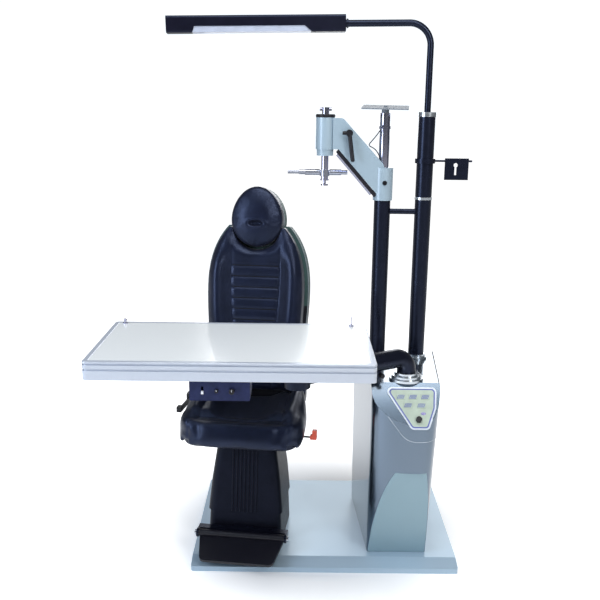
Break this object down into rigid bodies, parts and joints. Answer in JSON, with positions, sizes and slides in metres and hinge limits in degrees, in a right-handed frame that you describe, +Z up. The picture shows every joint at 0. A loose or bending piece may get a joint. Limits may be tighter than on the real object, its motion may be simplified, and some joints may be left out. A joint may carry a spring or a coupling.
{
  "type": "ophthalmic refraction unit",
  "caption": "Refraction unit: reclining patient chair, instrument console with columns, swinging table, phoropter arm and lamp on one base plate.",
  "frame": {"origin": "centre of the base plate's underside, on the floor", "axes": "+X to the console side, +Y to the rear behind the patient, +Z up"},
  "size_m": [1.352, 0.9613, 2.0431],
  "materials": {
    "plate_silver": "satin metallic paint",
    "console_silver": "gloss metallic silver paint",
    "satin_black": "satin black powder coat",
    "chrome": "polished chrome",
    "silver_ring": "satin turned",
    "black_leather": "soft-grain leatherette",
    "shell_grey": "grey-green moulded shell",
    "laminate": "silver-white laminate",
    "table_rim": "satin anodised",
    "arm_grey": "pale grey enamel",
    "black_plastic": "fine-grained",
    "control_blue_black": "blue-black enamel",
    "diffuser": "opal",
    "keypad": "printed membrane",
    "key_cap": "printed key",
    "steel": "machined",
    "cable": "soft PVC",
    "red_knob": "moulded grip",
    "core": "laminated core"
  },
  "bodies": {
    "base": {"base_plate": "plate_silver", "console_body": "console_silver", "console_cover": "console_silver", "toe_cover": "console_silver", "rear_panel": "console_silver", "power_inlet": "black_plastic", "keypad_panel": "keypad", "column_rings": "silver_ring", "instrument_column": "satin_black", "lamp_column": "satin_black", "link_bar": "satin_black", "projector_post": "chrome", "transformer": "core", "arm_boss": "silver_ring", "chair_plinth": "satin_black", "lower_skirt": "black_leather", "lift_motor": "steel"},
    "table_arm": {"table_arm_tube": "satin_black", "pivot_housing": "satin_black"},
    "brake_knob": {"brake_knob": "black_plastic"},
    "table": {"table_edge": "table_rim", "table_panel": "laminate", "table_pivot_plate": "steel", "table_stud": "chrome", "control_box": "control_blue_black"},
    "table_lock_pin": {"table_lock_pin": "chrome"},
    "power_slider": {"power_slider": "black_plastic"},
    "small_knob": {"small_knob": "black_plastic"},
    "large_knob": {"large_knob": "black_plastic"},
    "chair_lift": {"lift_column": "steel", "upper_skirt": "black_leather"},
    "seat": {"seat_frame": "satin_black", "seat_cushion": "black_leather", "seat_bolsters": "black_leather"},
    "swivel_lever": {"swivel_lever": "red_knob"},
    "recline_lever": {"recline_lever": "black_plastic"},
    "backrest": {"back_cushion": "black_leather", "back_shell": "shell_grey"},
    "headrest": {"headrest_posts": "chrome", "headrest_shell": "shell_grey", "headrest_cushion": "black_leather"},
    "footrest": {"footrest": "satin_black"},
    "phoropter_arm": {"arm_casting": "arm_grey", "arm_trim": "satin_black", "arm_cable": "cable", "cable_ring": "chrome"},
    "clamp_lever": {"clamp_lever": "black_plastic"},
    "phoropter_shaft": {"phoropter_shaft": "chrome"},
    "mounting_rod": {"mounting_rod": "chrome"},
    "projector_tray": {"projector_tray": "arm_grey"},
    "lamp_pole": {"lamp_pole": "satin_black"},
    "lamp_head": {"lamp_head": "satin_black", "lamp_diffuser": "diffuser"},
    "chart_holder": {"chart_holder": "satin_black"},
    "dimmer_knob": {"dimmer_knob": "black_plastic"},
    "key_1": {"key_1": "key_cap"},
    "key_2": {"key_2": "key_cap"},
    "key_3": {"key_3": "key_cap"},
    "key_4": {"key_4": "key_cap"},
    "key_5": {"key_5": "key_cap"}
  },
  "joints": [
    {"name": "table_arm_swing", "type": "hinge", "parent": "base", "child": "table_arm", "pos_m": [0.3, -0.168, 0.72], "axis": [0, 0, 1], "range_deg": [0, 80]},
    {"name": "table_turn", "type": "hinge", "parent": "table_arm", "child": "table", "pos_m": [-0.11, -0.405, 0.85], "axis": [0, 0, 1], "range_deg": [-10, 60]},
    {"name": "brake_turn", "type": "hinge", "parent": "table_arm", "child": "brake_knob", "pos_m": [0.18745, -0.23306, 0.757], "axis": [0.5005, -0.8658, 0], "range_deg": [0, 180]},
    {"name": "lock_pin_pull", "type": "slide", "parent": "table", "child": "table_lock_pin", "axis": [0, 0, 1], "range_m": [0, 0.012], "stiffness_N_per_m": 400},
    {"name": "power_slide", "type": "slide", "parent": "table", "child": "power_slider", "axis": [0, 0, 1], "range_m": [0, 0.012]},
    {"name": "small_knob_turn", "type": "hinge", "parent": "table", "child": "small_knob", "pos_m": [-0.368, -0.606, 0.824], "axis": [0, -1, 0], "range_deg": [0, 270]},
    {"name": "large_knob_turn", "type": "hinge", "parent": "table", "child": "large_knob", "pos_m": [-0.319, -0.606, 0.824], "axis": [0, -1, 0], "range_deg": [0, 270]},
    {"name": "chair_lift", "type": "slide", "parent": "base", "child": "chair_lift", "axis": [0, 0, 1], "range_m": [0, 0.15]},
    {"name": "chair_swivel", "type": "hinge", "parent": "chair_lift", "child": "seat", "pos_m": [-0.289, 0, 0.476], "axis": [0, 0, 1], "range_deg": [-30, 30]},
    {"name": "swivel_lever_press", "type": "hinge", "parent": "seat", "child": "swivel_lever", "pos_m": [-0.1584, -0.16716, 0.48], "axis": [0.1219, 0.9925, 0], "range_deg": [0, 12], "stiffness_Nm_per_rad": 2},
    {"name": "recline_lever_lift", "type": "hinge", "parent": "seat", "child": "recline_lever", "pos_m": [-0.51861, 0.12391, 0.56], "axis": [-0.9925, 0.1219, 0], "range_deg": [0, 25], "stiffness_Nm_per_rad": 4},
    {"name": "backrest_recline", "type": "hinge", "parent": "seat", "child": "backrest", "pos_m": [-0.27742, 0.09429, 0.56], "axis": [-0.9925, 0.1219, 0], "range_deg": [0, 40]},
    {"name": "headrest_slide", "type": "slide", "parent": "backrest", "child": "headrest", "axis": [0.017, 0.1381, 0.9903], "range_m": [0, 0.06]},
    {"name": "footrest_fold", "type": "hinge", "parent": "base", "child": "footrest", "pos_m": [-0.32008, -0.2531, 0.1], "axis": [-0.9925, 0.1219, 0], "range_deg": [0, 90]},
    {"name": "phoropter_arm_swing", "type": "hinge", "parent": "base", "child": "phoropter_arm", "pos_m": [0.214, 0.096, 1.4], "axis": [0, 0, 1], "range_deg": [-50, 80]},
    {"name": "clamp_lever_turn", "type": "hinge", "parent": "phoropter_arm", "child": "clamp_lever", "pos_m": [0.076, 0.0657, 1.618], "axis": [0, -1, 0], "range_deg": [-40, 60]},
    {"name": "shaft_slide", "type": "slide", "parent": "phoropter_arm", "child": "phoropter_shaft", "axis": [0, 0, 1], "range_m": [-0.01, 0.03]},
    {"name": "rod_turn", "type": "hinge", "parent": "phoropter_shaft", "child": "mounting_rod", "pos_m": [-0.014, 0.096, 1.465], "axis": [0, 0, 1], "range_deg": [0, 90]},
    {"name": "tray_turn", "type": "hinge", "parent": "base", "child": "projector_tray", "pos_m": [0.214, 0.096, 1.7], "axis": [0, 0, 1], "range_deg": [-90, 90]},
    {"name": "lamp_swing", "type": "hinge", "parent": "base", "child": "lamp_pole", "pos_m": [0.374, 0.096, 1.7], "axis": [0, 0, 1], "range_deg": [-60, 60]},
    {"name": "lamp_roll", "type": "hinge", "parent": "lamp_pole", "child": "lamp_head", "pos_m": [0.05162, 0.07764, 2.01313], "axis": [-0.9981, -0.0572, -0.0245], "range_deg": [-20, 30]},
    {"name": "chart_swing", "type": "hinge", "parent": "base", "child": "chart_holder", "pos_m": [0.374, 0.096, 1.515], "axis": [0, 0, 1], "range_deg": [-70, 70]},
    {"name": "key_1_press", "type": "slide", "parent": "base", "child": "key_1", "axis": [0, 0.7616, -0.648], "range_m": [0, 0.001], "stiffness_N_per_m": 400},
    {"name": "key_2_press", "type": "slide", "parent": "base", "child": "key_2", "axis": [0, 0.7616, -0.648], "range_m": [0, 0.001], "stiffness_N_per_m": 400},
    {"name": "key_3_press", "type": "slide", "parent": "base", "child": "key_3", "axis": [0, 0.7616, -0.648], "range_m": [0, 0.001], "stiffness_N_per_m": 400},
    {"name": "key_4_press", "type": "slide", "parent": "base", "child": "key_4", "axis": [0, 0.7616, -0.648], "range_m": [0, 0.001], "stiffness_N_per_m": 400},
    {"name": "key_5_press", "type": "slide", "parent": "base", "child": "key_5", "axis": [0, 0.7616, -0.648], "range_m": [0, 0.001], "stiffness_N_per_m": 400},
    {"name": "dimmer_turn", "type": "hinge", "parent": "base", "child": "dimmer_knob", "pos_m": [0.334, -0.30706, 0.60708], "axis": [0, -0.7616, 0.648], "range_deg": [0, 270]}
  ]
}
